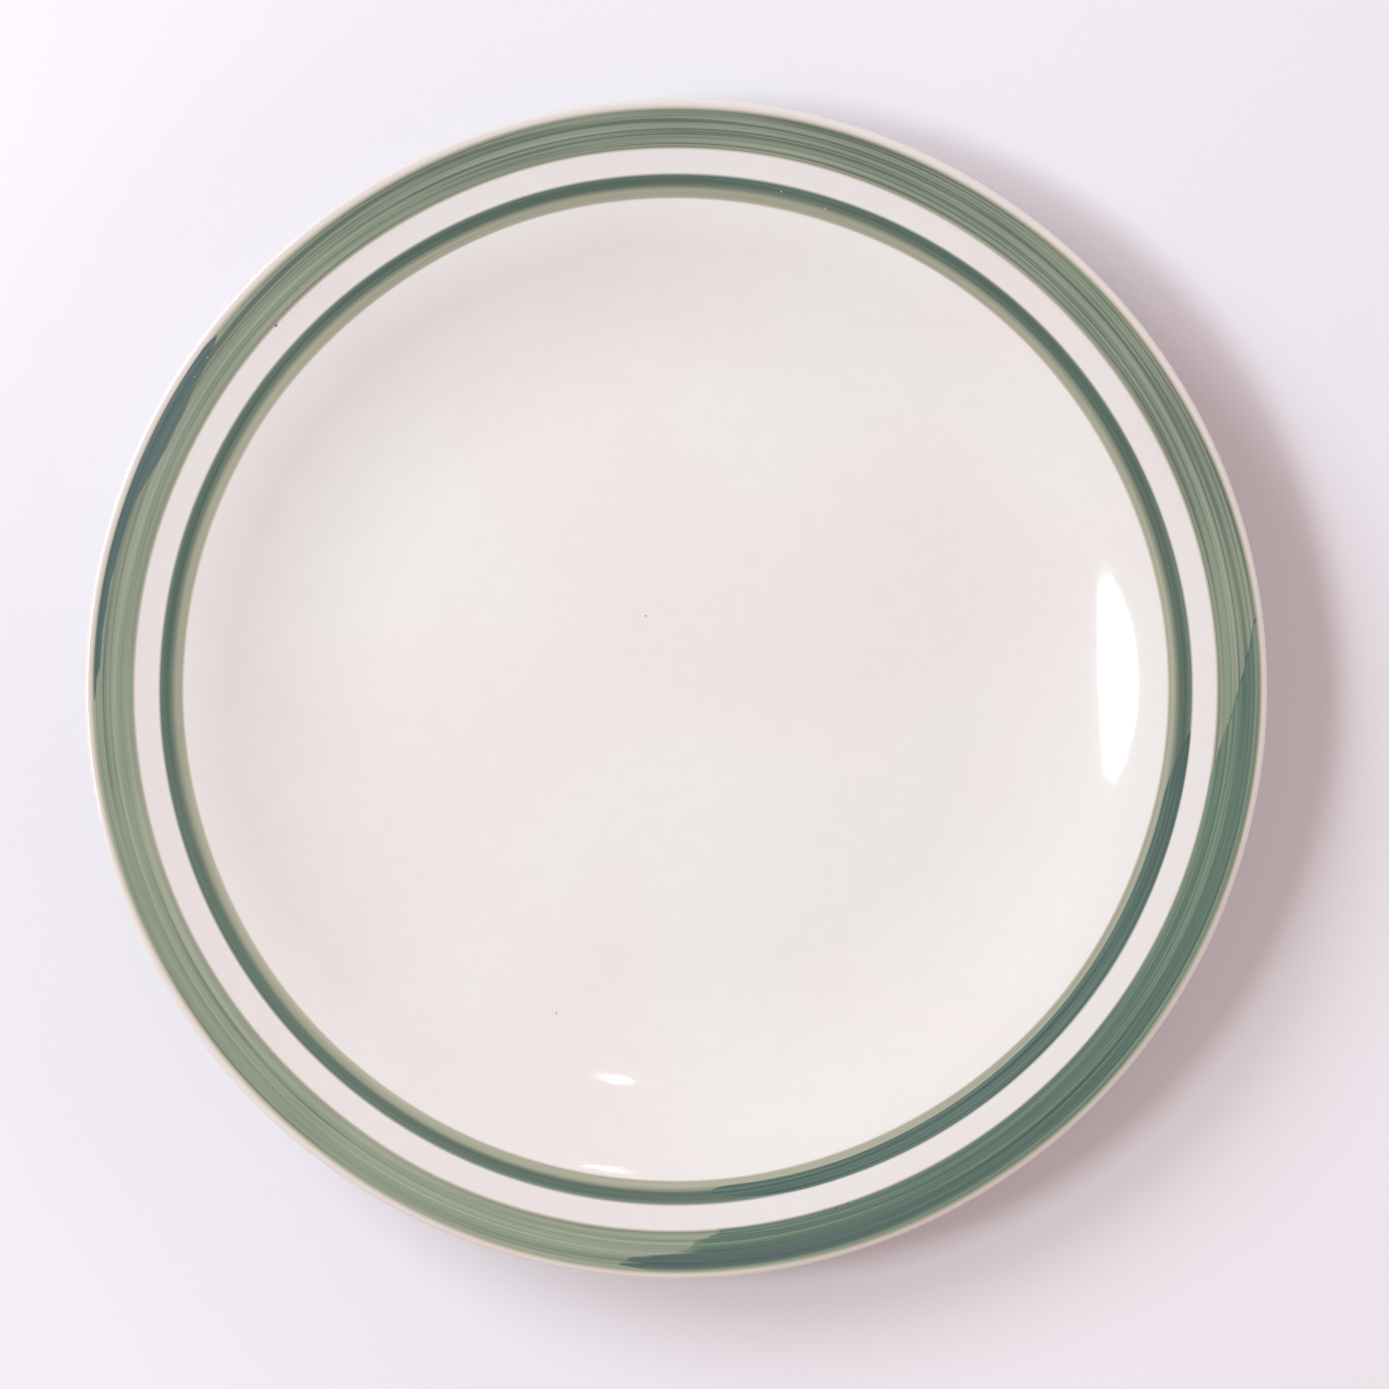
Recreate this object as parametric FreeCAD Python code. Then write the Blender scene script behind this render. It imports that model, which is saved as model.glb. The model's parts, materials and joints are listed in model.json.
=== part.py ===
import FreeCAD, Part

import math
import os

from FreeCAD import Vector

# A glazed dinner plate with two brushed bands, in millimetres and degrees. It stands on its
# foot ring at z = 0, +Z is up and its axis is the Z axis. Azimuths run anticlockwise from +X,
# seen from above. Slopes are measured from level, and radii on the finished surface. One fired
# clay body carries the glaze, and the brushed colour is melted into the glaze's surface, so
# every coat is flush with the next.

# The face, from the middle outwards
FLOOR_Z = 8.3  # height of the well's flat floor
FLOOR_R = 66.5  # where the floor starts to sweep up
SWEEP_R = 92.0  # the sweep from the floor to the wall
WALL_SLOPE = 23.0  # the wall at its steepest
SHOULDER_R = 80.0  # the shoulder, where the wall eases into the rim
RIM_SLOPE = 11.0
RIM_R = 135.0  # the plate's outermost radius
WALL = 4.2  # thickness of wall and rim, glaze included
LIP_R = 1.0  # the lip's upper round; the lower one is as large as the wall leaves room for

# The underside and the foot ring
FOOT_SLOPE = 14.5  # slope of the underside where it turns down into the foot ring
FOOT_COVE_R = 4.0
FOOT_DRAFT = 10.0  # lean of the foot ring's two walls
FOOT_EDGE_R = 1.4
FOOT_FACE = 3.0  # width of the flat standing face
BASE_COVE_R = 2.0
BASE_Z = 3.3  # height of the base's underside, inside the foot ring

# The coats
GLAZE = 0.45
GLAZE_STOP_Z = 1.5  # the glaze is wiped off the foot ring below this
COAT = 0.2  # depth of a single coat of colour
LAP = 0.3  # depth where the brush went over it twice

# The brushed bands
BAND_IN = 123.9
BAND_OUT = 133.4
LINE_IN = 113.0
LINE_DARK = 114.7  # the line is a thin wash inside this radius and dark outside it
LINE_OUT = 118.0
LINE_LAP_OUT = 117.0

# Azimuths where each second stroke starts and ends, at its inner and at its outer edge
BAND_LAP_START = (274.0, 268.0)
BAND_LAP_END = (352.5, 366.5)
LINE_LAP_START = (275.0, 273.7)
LINE_LAP_END = (350.0, 355.0)
TOUCH_UP = (142.0, 181.3)  # a leaf along the band's outer edge
TOUCH_UP_IN = 128.7  # its innermost radius, half way along

SEAM = 90.0  # azimuth of the half section that is turned about the axis
CLEAR_Z = 40.0  # well above the plate


def polar(radius, azimuth, z=0.0):
    turn = math.radians(azimuth)
    return Vector(radius * math.cos(turn), radius * math.sin(turn), z)


class Outline:
    """The half section as a chain of tangent straights and arcs.

    The pen follows the finished surface with the clay on its right, from the middle of the well
    over the lip to the middle of the base, and draws the line that lies `depth` under it.
    """

    def __init__(self, depth):
        self.depth = depth
        self.radius = 0.0
        self.z = FLOOR_Z
        self.heading = 0.0
        self.edges = []

    def point(self):
        heading = math.radians(self.heading)
        radius = self.radius + self.depth * math.sin(heading)
        return polar(radius, SEAM, self.z - self.depth * math.cos(heading))

    def advance(self, length, heading):
        self.radius += length * math.cos(math.radians(heading))
        self.z += length * math.sin(math.radians(heading))

    def straight(self, length):
        start = self.point()
        self.advance(length, self.heading)
        self.edges.append(Part.makeLine(start, self.point()))

    def arc(self, radius, turn):
        """Turns left for a positive turn and right for a negative one."""
        points = [self.point()]
        half = turn / 2
        for _ in range(2):
            chord = 2 * radius * math.sin(math.radians(abs(half) / 2))
            self.advance(chord, self.heading + half / 2)
            self.heading += half
            points.append(self.point())
        self.edges.append(Part.Arc(*points).toShape())

    def face(self):
        start = self.edges[0].firstVertex().Point
        end = self.point()
        return Part.Face(Part.Wire(self.edges + [Part.makeLine(end, start)]))


def draw_face(pen):
    """Floor, sweep, shoulder and rim, out to the lip. Returns the length of the rim's straight."""
    pen.straight(FLOOR_R)
    pen.arc(SWEEP_R, WALL_SLOPE)
    pen.arc(SHOULDER_R, RIM_SLOPE - WALL_SLOPE)
    lip_starts = RIM_R - LIP_R * (1 + math.sin(math.radians(RIM_SLOPE)))
    rim_straight = (lip_starts - pen.radius) / math.cos(math.radians(RIM_SLOPE))
    pen.straight(rim_straight)
    return rim_straight


def draw_lip(pen):
    """A small round down to the vertical, then a larger one under it that brings the section
    back parallel to the rim, one wall thick. Returns how much further in the second one ends."""
    lean = math.sin(math.radians(RIM_SLOPE))
    lower = (WALL - LIP_R * (1 + lean)) / (1 - lean)
    pen.arc(LIP_R, -90 - RIM_SLOPE)
    pen.arc(lower, RIM_SLOPE - 90)
    return (lower - LIP_R) * math.cos(math.radians(RIM_SLOPE))


def draw_underside(pen, rim_straight):
    """The rim and the wall again, one thickness lower, from the lip in to the foot ring."""
    pen.straight(rim_straight)
    pen.arc(SHOULDER_R - WALL, WALL_SLOPE - RIM_SLOPE)
    pen.arc(SWEEP_R + WALL, FOOT_SLOPE - WALL_SLOPE)


def draw_foot_ring(pen):
    """Cove, outer wall, standing face, inner wall and cove. Returns the standing face's middle
    radius. The finished outline runs one glaze below the table, so that the bare clay of the
    foot ring, one glaze under it, stands on the table."""
    lean = 90 - FOOT_DRAFT
    upright = math.cos(math.radians(FOOT_DRAFT))
    climb = 1 - math.sin(math.radians(FOOT_DRAFT))  # height of a round of radius 1 through `lean`
    pen.arc(FOOT_COVE_R, lean - FOOT_SLOPE)
    pen.straight((pen.z + GLAZE - FOOT_EDGE_R * climb) / upright)
    pen.arc(FOOT_EDGE_R, -lean)
    pen.straight(FOOT_FACE)
    middle = pen.radius + FOOT_FACE / 2
    pen.arc(FOOT_EDGE_R, -lean)
    pen.straight((BASE_Z - BASE_COVE_R * climb - pen.z) / upright)
    pen.arc(BASE_COVE_R, lean)
    pen.straight(pen.radius)
    return middle


def half_section(depth):
    """The section of everything that lies at least `depth` under the finished surface, and the
    middle radius of the foot ring."""
    pen = Outline(depth)
    rim_straight = draw_face(pen)
    further_in = draw_lip(pen)
    draw_underside(pen, rim_straight - further_in)
    foot_middle = draw_foot_ring(pen)
    return pen.face(), foot_middle


def turned(section):
    return section.revolve(Vector(), Vector(0, 0, 1), 360)


def rectangle(inner, low, outer, high):
    """A rectangle in the plane of the half section."""
    corners = [(inner, low), (outer, low), (outer, high), (inner, high), (inner, low)]
    return Part.Face(Part.makePolygon([polar(radius, SEAM, z) for radius, z in corners]))


def body_and_glazes():
    """The clay, the glaze over face, lip and underside, and the glaze inside the foot ring."""
    finished, foot_middle = half_section(0)
    clay, _ = half_section(GLAZE)
    coat = finished.cut(clay)
    inside_foot = rectangle(0, -CLEAR_Z, foot_middle, (BASE_Z + FLOOR_Z) / 2)
    wiped = rectangle(0, -CLEAR_Z, RIM_R, GLAZE_STOP_Z)
    glaze = coat.cut(inside_foot).cut(wiped)
    base_glaze = coat.common(inside_foot).cut(wiped)
    return turned(clay), turned(glaze), turned(base_glaze)


def face_layer(depth):
    """The top `depth` of the face, without the same layer of the underside."""
    finished, _ = half_section(0)
    deeper, _ = half_section(depth)
    lower = finished.translated(Vector(0, 0, -WALL / 2))
    return turned(finished.cut(deeper).cut(lower))


def raised(plan):
    return plan.extrude(Vector(0, 0, CLEAR_Z))


def ring(inner, outer):
    discs = [Part.Face(Part.Wire(Part.makeCircle(radius))) for radius in (outer, inner)]
    return raised(discs[0].cut(discs[1]))


def arc_between(radius, first, last):
    points = [polar(radius, azimuth) for azimuth in (first, (first + last) / 2, last)]
    return Part.Arc(*points).toShape()


def sector(inner, outer, start, end):
    """A stretch of a ring. `start` and `end` give the azimuth at its inner and outer edge."""
    inside = arc_between(inner, start[0], end[0])
    outside = arc_between(outer, start[1], end[1])
    first = Part.makeLine(polar(inner, start[0]), polar(outer, start[1]))
    last = Part.makeLine(polar(inner, end[0]), polar(outer, end[1]))
    return raised(Part.Face(Part.Wire([inside, last, outside, first])))


def leaf(inner, outer, start, end):
    """The space between a ring's outer edge and an arc that dips in to `inner` half way."""
    outside = arc_between(outer, start, end)
    dip = [polar(outer, start), polar(inner, (start + end) / 2), polar(outer, end)]
    return raised(Part.Face(Part.Wire([outside, Part.Arc(*dip).toShape()])))


def brushed_coats():
    """Every stroke of colour. A second stroke takes the place of the first one under it."""
    single = face_layer(COAT)
    double = face_layer(LAP)
    laps = {
        "rim_band_lap": sector(BAND_IN, BAND_OUT, BAND_LAP_START, BAND_LAP_END),
        "rim_touch_up": leaf(TOUCH_UP_IN, BAND_OUT, *TOUCH_UP),
        "inner_line_lap": sector(LINE_IN, LINE_LAP_OUT, LINE_LAP_START, LINE_LAP_END),
    }
    first_strokes = {
        "rim_band": ring(BAND_IN, BAND_OUT),
        "inner_line": ring(LINE_DARK, LINE_OUT),
        "inner_line_wash": ring(LINE_IN, LINE_DARK),
    }
    coats = {name: double.common(space) for name, space in laps.items()}
    for name, space in first_strokes.items():
        for lap in laps.values():
            space = space.cut(lap)
        coats[name] = single.common(space)
    return coats


def plate():
    clay, glaze, base_glaze = body_and_glazes()
    coats = brushed_coats()
    for coat in coats.values():
        glaze = glaze.cut(coat)
    return {"clay_body": clay, "glaze_coat": glaze, "base_glaze": base_glaze, **coats}


def main():
    os.makedirs("parts", exist_ok=True)
    for name, shape in plate().items():
        shape.exportStep(f"parts/{name}.step")
        box = shape.optimalBoundingBox()
        print(
            f"{name}: {len(shape.Solids)} solid, valid {shape.isValid()}, {shape.Volume:.1f} mm3,"
            f" radius {box.XMax:.2f}, z {box.ZMin:.2f} to {box.ZMax:.2f}"
        )


main()
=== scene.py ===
import json
import math

import bpy
import numpy as np
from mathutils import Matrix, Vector


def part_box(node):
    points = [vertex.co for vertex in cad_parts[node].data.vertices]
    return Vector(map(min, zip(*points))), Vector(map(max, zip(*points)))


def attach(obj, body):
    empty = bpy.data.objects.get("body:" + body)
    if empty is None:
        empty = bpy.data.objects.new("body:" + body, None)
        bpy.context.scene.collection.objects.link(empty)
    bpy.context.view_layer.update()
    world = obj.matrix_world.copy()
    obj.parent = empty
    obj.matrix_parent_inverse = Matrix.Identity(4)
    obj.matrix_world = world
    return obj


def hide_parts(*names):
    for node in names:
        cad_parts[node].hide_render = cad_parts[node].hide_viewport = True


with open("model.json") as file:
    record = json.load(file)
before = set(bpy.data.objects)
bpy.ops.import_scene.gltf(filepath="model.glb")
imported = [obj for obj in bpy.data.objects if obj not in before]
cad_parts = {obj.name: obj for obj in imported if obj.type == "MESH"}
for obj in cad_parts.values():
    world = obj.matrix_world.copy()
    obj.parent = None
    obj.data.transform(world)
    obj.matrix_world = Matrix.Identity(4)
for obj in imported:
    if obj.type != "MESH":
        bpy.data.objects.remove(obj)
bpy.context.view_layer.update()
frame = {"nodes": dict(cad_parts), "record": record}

# A hand-brushed dinner plate on a pale table, seen from above. The bare clay body, the white
# glaze and each stroke of colour are separate pieces, one for each CAD node.
#
# Lengths are in millimetres and angles in degrees until a mesh is made; the scene is in metres.
# Radii are measured from the plate's axis, and azimuths run anticlockwise from +X, seen from
# above. A depth is measured into the plate from its finished surface.
MM = 0.001


def node_radii(node):
    """The smallest and largest radius of a CAD node."""
    lengths = [math.hypot(v.co.x, v.co.y) / MM for v in frame["nodes"][node].data.vertices]
    return min(lengths), max(lengths)


def mount_height(name):
    mounts = {m["name"]: m for m in frame["record"]["mounts"]}
    return mounts[name]["pos_m"][2] / MM


# The plate's shape. Slopes are measured from level, and radii on the finished surface.
GLAZE = 0.45  # thickness of the white glaze
RIM_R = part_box("glaze_coat")[1].x / MM
FLOOR_Z = mount_height("well_floor")
BASE_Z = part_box("base_glaze")[1].z / MM - GLAZE  # the base's underside, inside the foot
FLOOR_R = 66.5  # where the flat floor starts to sweep up
SWEEP_R = 92.0  # the sweep from the floor to the wall
WALL_SLOPE = 23.0  # the wall at its steepest
SHOULDER_R = 80.0  # the shoulder, where the wall eases into the rim
RIM_SLOPE = 11.0
WALL = 4.2  # thickness of wall and rim, glaze included
LIP_R = 1.0  # the lip's upper round
LIP_WIDTH = 1.3  # how far in from the edge the face starts to turn over the lip
FOOT_SLOPE = 14.5  # slope of the underside where it turns down into the foot ring
FOOT_COVE_R = 4.0
FOOT_DRAFT = 10.0  # lean of the foot ring's two walls
FOOT_EDGE_R = 1.4
FOOT_FACE = 3.0  # width of the flat standing face
BASE_COVE_R = 2.0

# The coats
GLAZE_STOP_Z = 1.5  # the glaze is wiped off the foot ring below this
COAT = 0.2  # depth of the brushed colour
BAND_IN, BAND_OUT = node_radii("rim_band")
LINE_DARK, LINE_OUT = node_radii("inner_line")
LINE_IN = node_radii("inner_line_wash")[0]
LINE_MIDDLE = 116.3  # where the line's colour is deepest
BRUSH_START = 264.0  # where the wide brush was set down; it ran on past this after a whole turn
FRINGE = 1.0  # how far a stroke's colour bleeds into the white beside it
LIP_FRINGE = 1.3  # and how far it runs out over the lip


# ---------------------------------------------------------------- the plate's section


class Section:
    """The finished half section as dense points (radius, z, heading), from the middle of the
    well over the lip to the middle of the base, with the clay on the right of the travel."""

    def __init__(self):
        self.radius, self.z, self.heading = 0.0, FLOOR_Z, 0.0
        self.points = [(self.radius, self.z, self.heading)]
        self.marks = {}

    def mark(self, name):
        self.marks[name] = len(self.points) - 1

    def advance(self, length, heading):
        self.radius += length * math.cos(math.radians(heading))
        self.z += length * math.sin(math.radians(heading))
        self.points.append((self.radius, self.z, self.heading))

    def straight(self, length, spacing):
        count = max(1, round(length / spacing))
        for _ in range(count):
            self.advance(length / count, self.heading)

    def arc(self, radius, turn, spacing):
        """Turns left for a positive turn and right for a negative one."""
        count = max(4, round(radius * math.radians(abs(turn)) / spacing))
        step = turn / count
        chord = 2 * radius * math.sin(math.radians(abs(step) / 2))
        for _ in range(count):
            middle = self.heading + step / 2
            self.heading += step
            self.advance(chord, middle)

    def between(self, first, last):
        """Points from one mark to another, as an array."""
        return np.array(self.points[self.marks[first] : self.marks[last] + 1])


def plate_section():
    pen = Section()
    climb = 1 - math.sin(math.radians(FOOT_DRAFT))  # height of a round of radius 1 through `lean`
    upright = math.cos(math.radians(FOOT_DRAFT))
    lean = 90 - FOOT_DRAFT
    pen.mark("middle")
    pen.straight(FLOOR_R, spacing=1.2)
    pen.arc(SWEEP_R, WALL_SLOPE, spacing=0.8)
    pen.arc(SHOULDER_R, RIM_SLOPE - WALL_SLOPE, spacing=0.4)
    rise, run = math.sin(math.radians(RIM_SLOPE)), math.cos(math.radians(RIM_SLOPE))
    rim_straight = (RIM_R - LIP_R * (1 + rise) - pen.radius) / run
    lower_r = (WALL - LIP_R * (1 + rise)) / (1 - rise)
    pen.straight(rim_straight, spacing=0.4)
    pen.arc(LIP_R, -90 - RIM_SLOPE, spacing=0.1)
    pen.arc(lower_r, RIM_SLOPE - 90, spacing=0.3)
    pen.mark("lip_under")
    pen.straight(rim_straight - (lower_r - LIP_R) * run, spacing=1.5)
    pen.arc(SHOULDER_R - WALL, WALL_SLOPE - RIM_SLOPE, spacing=1.5)
    pen.arc(SWEEP_R + WALL, FOOT_SLOPE - WALL_SLOPE, spacing=1.5)
    pen.arc(FOOT_COVE_R, lean - FOOT_SLOPE, spacing=0.4)
    pen.mark("foot_outside")
    pen.straight((pen.z + GLAZE - FOOT_EDGE_R * climb) / upright, spacing=0.25)
    pen.arc(FOOT_EDGE_R, -lean, spacing=0.2)
    pen.straight(FOOT_FACE, spacing=0.2)
    pen.arc(FOOT_EDGE_R, -lean, spacing=0.2)
    pen.straight((BASE_Z - BASE_COVE_R * climb - pen.z) / upright, spacing=0.25)
    pen.mark("foot_inside")
    pen.arc(BASE_COVE_R, lean, spacing=0.2)
    pen.straight(pen.radius, spacing=2.0)
    pen.mark("base_middle")
    return pen


SECTION = plate_section()


def sunk(points, depth):
    """(radius, z) of the points, moved `depth` into the plate."""
    heading = np.radians(points[:, 2])
    radius = points[:, 0] + depth * np.sin(heading)
    return np.column_stack([np.maximum(radius, 0), points[:, 1] - depth * np.cos(heading)])


def face_points(radii):
    """(radius, z, heading) of the face at the given radii, all inside the lip's outermost one."""
    face = SECTION.between("middle", "lip_under")
    face = face[: np.argmax(face[:, 0]) + 1]
    columns = [np.interp(radii, face[:, 0], face[:, i]) for i in (1, 2)]
    return np.column_stack([radii, *columns])


def smooth_step(low, high, value):
    t = np.clip((value - low) / (high - low), 0, 1)
    return t * t * (3 - 2 * t)


# A hand-turned plate is never quite true: the rim rises and falls a little, the outline is a
# little out of round, and the face keeps faint rings from the turning.
RIM_WAVE = 0.12
OUT_OF_ROUND = 0.13
LOOSE_FROM = 88.0  # the plate is true inside this radius, and least true at the rim
RING_HEIGHT = 0.004
RING_PITCH = 7.3


def hand_made(radius, azimuth, z):
    """Moves true points to where the hand left them. Takes arrays, gives x, y, z columns."""
    turn = np.radians(azimuth)
    loose = smooth_step(LOOSE_FROM, RIM_R, radius)
    wave = np.sin(2 * turn + 0.6) + 0.5 * np.sin(3 * turn + 2.1)
    rings = np.sin(radius / RING_PITCH * 2 * math.pi + 0.8 * np.sin(turn))
    on_face = smooth_step(20.0, 60.0, radius) * smooth_step(5.5, 8.0, z)
    z = z + RIM_WAVE * loose * wave + RING_HEIGHT * on_face * rings
    off_round = np.cos(2 * turn - 0.6) + 0.2 * np.sin(5 * turn) + 0.8 * np.cos(turn - 0.5)
    radius = radius + OUT_OF_ROUND * loose * off_round
    return np.column_stack([radius * np.cos(turn), radius * np.sin(turn), z])


# ---------------------------------------------------------------- meshes

SHARP_ANGLE = 35.0


def mesh_object(name, verts, faces):
    mesh = bpy.data.meshes.new(name)
    mesh.from_pydata((np.asarray(verts) * MM).tolist(), [], faces)
    mesh.validate()
    mesh.update()
    mesh.shade_smooth()
    mesh.set_sharp_from_angle(angle=math.radians(SHARP_ANGLE))
    ob = bpy.data.objects.new(name, mesh)
    bpy.context.scene.collection.objects.link(ob)
    return ob


def turned_solid(name, loop, segments):
    """A lathe solid. `loop` is a list of (radius, z), closed for a ring, or from axis to axis."""
    loop = np.asarray(loop, float)
    azimuths = np.arange(segments) * 360 / segments
    verts, rings = [], []
    for radius, z in loop:
        rings.append(len(verts))
        if radius < 1e-6:
            verts.extend(hand_made(np.array([0.0]), np.array([0.0]), np.array([z])))
        else:
            flat = np.full(segments, radius)
            verts.extend(hand_made(flat, azimuths, np.full(segments, z)))
    on_axis = loop[:, 0] < 1e-6
    faces = []
    last = len(loop) if not on_axis.any() else len(loop) - 1
    for i in range(last):
        j = (i + 1) % len(loop)
        a, b = rings[i], rings[j]
        for k in range(segments):
            n = (k + 1) % segments
            if on_axis[i]:
                faces.append((a, b + k, b + n))
            elif on_axis[j]:
                faces.append((a + k, b, a + n))
            else:
                faces.append((a + k, b + k, b + n, a + n))
    return mesh_object(name, verts, faces)


LIP_ROWS = 12


def ring_solid(name, inner, outer, spacing, segments, top, bottom):
    """A ring laid in the face, from depth `top` to depth `bottom`. Its rows are `spacing` apart,
    and closer where it turns over the lip."""
    flat_end = min(outer, RIM_R - LIP_WIDTH)
    radii = np.linspace(inner, flat_end, max(2, round((flat_end - inner) / spacing)) + 1)
    if outer > flat_end:
        radii = np.concatenate([radii, np.linspace(flat_end, outer, LIP_ROWS)[1:]])
    points = face_points(radii)
    loop = np.vstack([sunk(points, top), sunk(points, bottom)[::-1]])
    return turned_solid(name, loop, segments)


HIDDEN = 0.004  # a film's feathered border lies this far under the surface, so it has no step
FULL_STRENGTH = 2.0  # where a film has its whole height


def film_solid(name, radii, azimuths, strength, pool, rise, sink):
    """A film of colour on the face: a grid of points, `rise` proud of it and `sink` under it
    below. `strength` is 0 on the border and FULL_STRENGTH or more where the film is whole, and
    `pool` is 1 where the colour gathered."""
    rows, columns = radii.shape
    flat_r, flat_a = radii.ravel(), azimuths.ravel()
    points = face_points(flat_r)
    height = (rise + HIDDEN) * smooth_step(0.0, FULL_STRENGTH, strength.ravel())
    top = sunk(points, HIDDEN - height)
    bottom = sunk(points, sink)
    verts = np.vstack([hand_made(side[:, 0], flat_a, side[:, 1]) for side in (top, bottom)])
    under = rows * columns
    faces = []
    for i in range(rows - 1):
        for j in range(columns - 1):
            a = i * columns + j
            b, c, d = a + 1, a + columns + 1, a + columns
            faces.append((a, d, c, b))
            faces.append((under + a, under + b, under + c, under + d))
    border = (
        list(range(columns))
        + [i * columns + columns - 1 for i in range(1, rows)]
        + [(rows - 1) * columns + j for j in range(columns - 2, -1, -1)]
        + [i * columns for i in range(rows - 2, 0, -1)]
    )
    for a, b in zip(border, border[1:] + border[:1]):
        faces.append((a, b, under + b, under + a))
    ob = mesh_object(name, verts, faces)
    for label, values in (("strength", strength), ("pool", pool)):
        layer = ob.data.attributes.new(label, "FLOAT", "POINT")
        layer.data.foreach_set("value", np.tile(values.ravel(), 2).astype(np.float32))
    return ob


def rough_edge(rng, count, spread, amount):
    """Random offsets for `count` rows, straight between knots that are `spread` rows apart."""
    knots = rng.uniform(-amount, amount, max(3, math.ceil(count / spread) + 2))
    return np.interp(np.arange(count), np.arange(len(knots)) * spread, knots)


# ---------------------------------------------------------------- shader helpers


def srgb(red, green, blue):
    """A linear colour from 8-bit display values."""
    values = [v / 255 for v in (red, green, blue)]
    return [v / 12.92 if v <= 0.04045 else ((v + 0.055) / 1.055) ** 2.4 for v in values] + [1.0]


class Graph:
    """Short calls for building a node tree. Arguments are sockets or numbers."""

    def __init__(self, tree):
        self.tree = tree

    def node(self, kind, **settings):
        made = self.tree.nodes.new(kind)
        for key, value in settings.items():
            setattr(made, key, value)
        return made

    def feed(self, socket, value):
        if isinstance(value, bpy.types.NodeSocket):
            self.tree.links.new(value, socket)
        elif value is not None:
            socket.default_value = value

    def math(self, operation, a, b=None, c=None, clamp=False):
        made = self.node("ShaderNodeMath", operation=operation, use_clamp=clamp)
        for socket, value in zip(made.inputs, (a, b, c)):
            self.feed(socket, value)
        return made.outputs[0]

    def ramp_between(self, value, low, high, out_low=0.0, out_high=1.0):
        """Smoothly from out_low to out_high as value goes from low to high."""
        made = self.node("ShaderNodeMapRange", interpolation_type="SMOOTHSTEP")
        for socket, amount in zip(made.inputs, (value, low, high, out_low, out_high)):
            self.feed(socket, amount)
        return made.outputs[0]

    def limited(self, value):
        """The value, kept from 0 to 1."""
        return self.math("MINIMUM", self.math("MAXIMUM", value, 0.0), 1.0)

    def mix(self, share, first, second, blend="MIX"):
        made = self.node("ShaderNodeMix", data_type="RGBA", blend_type=blend)
        self.feed(made.inputs[0], share)
        self.feed(made.inputs[6], first)
        self.feed(made.inputs[7], second)
        return made.outputs[2]

    def steps(self, value, stops):
        """A colour ramp. `stops` is a list of (place from 0 to 1, grey or colour)."""
        made = self.node("ShaderNodeValToRGB")
        made.color_ramp.interpolation = "EASE"
        elements = made.color_ramp.elements
        while len(elements) < len(stops):
            elements.new(0.5)
        for element, (place, colour) in zip(elements, stops):
            element.position = place
            element.color = colour if isinstance(colour, list) else (colour, colour, colour, 1)
        self.feed(made.inputs[0], value)
        return made.outputs[0]

    def combine(self, x, y, z):
        made = self.node("ShaderNodeCombineXYZ")
        for socket, value in zip(made.inputs, (x, y, z)):
            self.feed(socket, value)
        return made.outputs[0]

    def noise(self, vector, scale, detail=2.0, roughness=0.5):
        made = self.node("ShaderNodeTexNoise", noise_dimensions="3D")
        self.feed(made.inputs["Vector"], vector)
        made.inputs["Scale"].default_value = scale
        made.inputs["Detail"].default_value = detail
        made.inputs["Roughness"].default_value = roughness
        return made.outputs["Fac"]


class Group(Graph):
    """A node group that other trees share, with named outputs."""

    def __init__(self, name, outputs):
        super().__init__(bpy.data.node_groups.new(name, "ShaderNodeTree"))
        for output, kind in outputs.items():
            self.tree.interface.new_socket(output, in_out="OUTPUT", socket_type=kind)
        self.end = self.node("NodeGroupOutput")

    def give(self, **values):
        for name, value in values.items():
            self.feed(self.end.inputs[name], value)

    def use_in(self, graph):
        made = graph.node("ShaderNodeGroup")
        made.node_tree = self.tree
        return made.outputs


FLOAT, COLOUR, VECTOR = "NodeSocketFloat", "NodeSocketColor", "NodeSocketVector"


def places_group():
    """Where a point lies: its radius and its place, both in millimetres, how many degrees the
    brush had come from its start, and a vector whose noise makes streaks round the plate."""
    g = Group("places", {"radius": FLOAT, "travel": FLOAT, "round": VECTOR, "point": VECTOR})
    position = g.node("ShaderNodeTexCoord").outputs["Object"]
    scaled = g.node("ShaderNodeVectorMath", operation="SCALE")
    g.feed(scaled.inputs[0], position)
    scaled.inputs["Scale"].default_value = 1 / MM
    point = scaled.outputs[0]
    split = g.node("ShaderNodeSeparateXYZ")
    g.feed(split.inputs[0], point)
    x, y = split.outputs[0], split.outputs[1]
    squares = g.math("ADD", g.math("MULTIPLY", x, x), g.math("MULTIPLY", y, y))
    radius = g.math("SQRT", squares)
    turn = g.math("MULTIPLY", g.math("ARCTAN2", y, x), 180 / math.pi)
    travel = g.math("FLOORED_MODULO", g.math("SUBTRACT", turn, BRUSH_START), 360.0)
    safe = g.math("MAXIMUM", radius, 0.001)
    cosine, sine = g.math("DIVIDE", x, safe), g.math("DIVIDE", y, safe)
    g.give(radius=radius, travel=travel, round=g.combine(radius, cosine, sine), point=point)
    return g


PLACES = places_group()


def streaks(graph, places, pitch, round_scale, offset, detail=2.0):
    """Noise drawn out along the plate's rings: `pitch` millimetres across a streak, and about
    `round_scale` changes along it for each radian of turn."""
    stretch = graph.node("ShaderNodeVectorMath", operation="MULTIPLY")
    graph.feed(stretch.inputs[0], places["round"])
    stretch.inputs[1].default_value = (1 / pitch, round_scale, round_scale)
    move = graph.node("ShaderNodeVectorMath", operation="ADD")
    graph.feed(move.inputs[0], stretch.outputs[0])
    move.inputs[1].default_value = (offset, offset * 0.37, offset * 0.71)
    return graph.noise(move.outputs[0], 1.0, detail)


# ---------------------------------------------------------------- colours

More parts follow.
